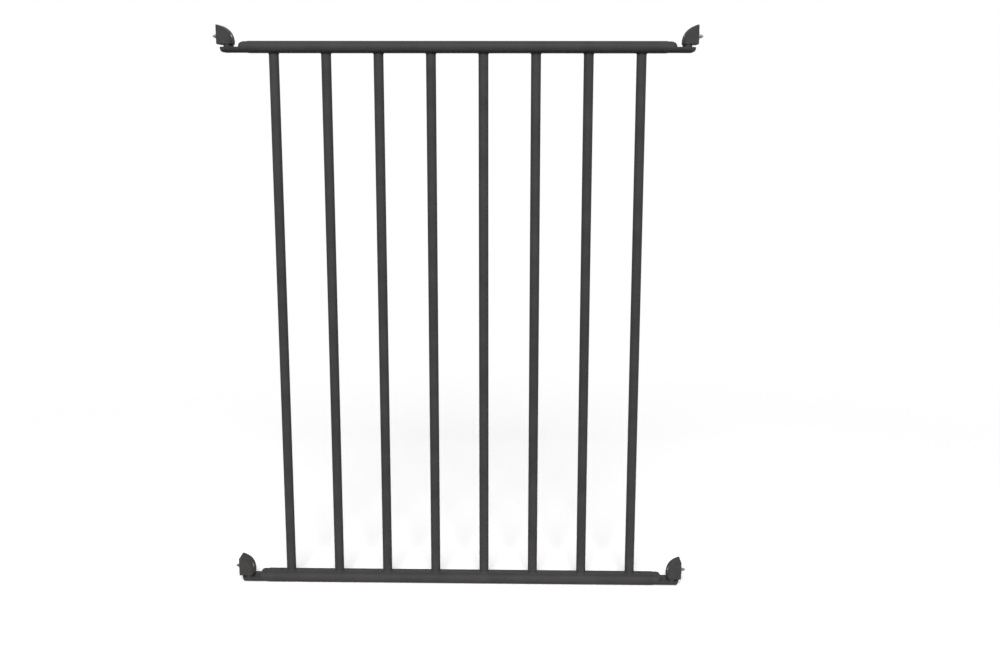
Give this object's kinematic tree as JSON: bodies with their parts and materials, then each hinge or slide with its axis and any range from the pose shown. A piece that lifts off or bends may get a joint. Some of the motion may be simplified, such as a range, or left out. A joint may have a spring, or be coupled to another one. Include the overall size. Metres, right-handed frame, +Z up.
{
  "type": "fence panel with swivel end brackets",
  "caption": "Upright fence panel of round bars between flat-oval rails, with moulded rail ends and swivel knuckles that bolt to a neighbouring panel, post or wall.",
  "frame": {"origin": "on the flat outer face of the bottom left knuckle, on the axis of its stud", "axes": "+X along the rails to the right, +Y to the back, +Z up along the bars"},
  "size_m": [0.624, 0.0254, 0.7501],
  "materials": {
    "powder_coat": "satin",
    "end_moulding": "satin",
    "knuckle_moulding": "satin",
    "dark_screw": "satin",
    "zinc": "satin"
  },
  "bodies": {
    "panel": {"top_rail": "powder_coat", "bottom_rail": "powder_coat", "bar_1": "powder_coat", "bar_2": "powder_coat", "bar_3": "powder_coat", "bar_4": "powder_coat", "bar_5": "powder_coat", "bar_6": "powder_coat", "bar_7": "powder_coat", "bar_8": "powder_coat", "rail_end_top_left": "end_moulding", "rail_end_top_right": "end_moulding", "rail_end_bottom_left": "end_moulding", "rail_end_bottom_right": "end_moulding"},
    "knuckle_top_left": {"swivel_knuckle_top_left": "knuckle_moulding", "pivot_screw_top_left": "dark_screw", "flange_stud_top_left": "zinc", "stud_nut_top_left": "zinc"},
    "knuckle_top_right": {"swivel_knuckle_top_right": "knuckle_moulding", "pivot_screw_top_right": "dark_screw", "flange_stud_top_right": "zinc", "stud_nut_top_right": "zinc"},
    "knuckle_bottom_left": {"swivel_knuckle_bottom_left": "knuckle_moulding", "pivot_screw_bottom_left": "dark_screw", "flange_stud_bottom_left": "zinc", "stud_nut_bottom_left": "zinc"},
    "knuckle_bottom_right": {"swivel_knuckle_bottom_right": "knuckle_moulding", "pivot_screw_bottom_right": "dark_screw", "flange_stud_bottom_right": "zinc", "stud_nut_bottom_right": "zinc"}
  },
  "joints": [
    {"name": "swivel_top_left", "type": "hinge", "parent": "panel", "child": "knuckle_top_left", "pos_m": [0.013, 0, 0.7017], "axis": [0, 0, 1], "range_deg": [-90, 90]},
    {"name": "swivel_top_right", "type": "hinge", "parent": "panel", "child": "knuckle_top_right", "pos_m": [0.597, 0, 0.7017], "axis": [0, 0, 1], "range_deg": [-90, 90]},
    {"name": "swivel_bottom_left", "type": "hinge", "parent": "panel", "child": "knuckle_bottom_left", "pos_m": [0.013, 0, -0.0133], "axis": [0, 0, 1], "range_deg": [-90, 90]},
    {"name": "swivel_bottom_right", "type": "hinge", "parent": "panel", "child": "knuckle_bottom_right", "pos_m": [0.597, 0, -0.0133], "axis": [0, 0, 1], "range_deg": [-90, 90]}
  ]
}
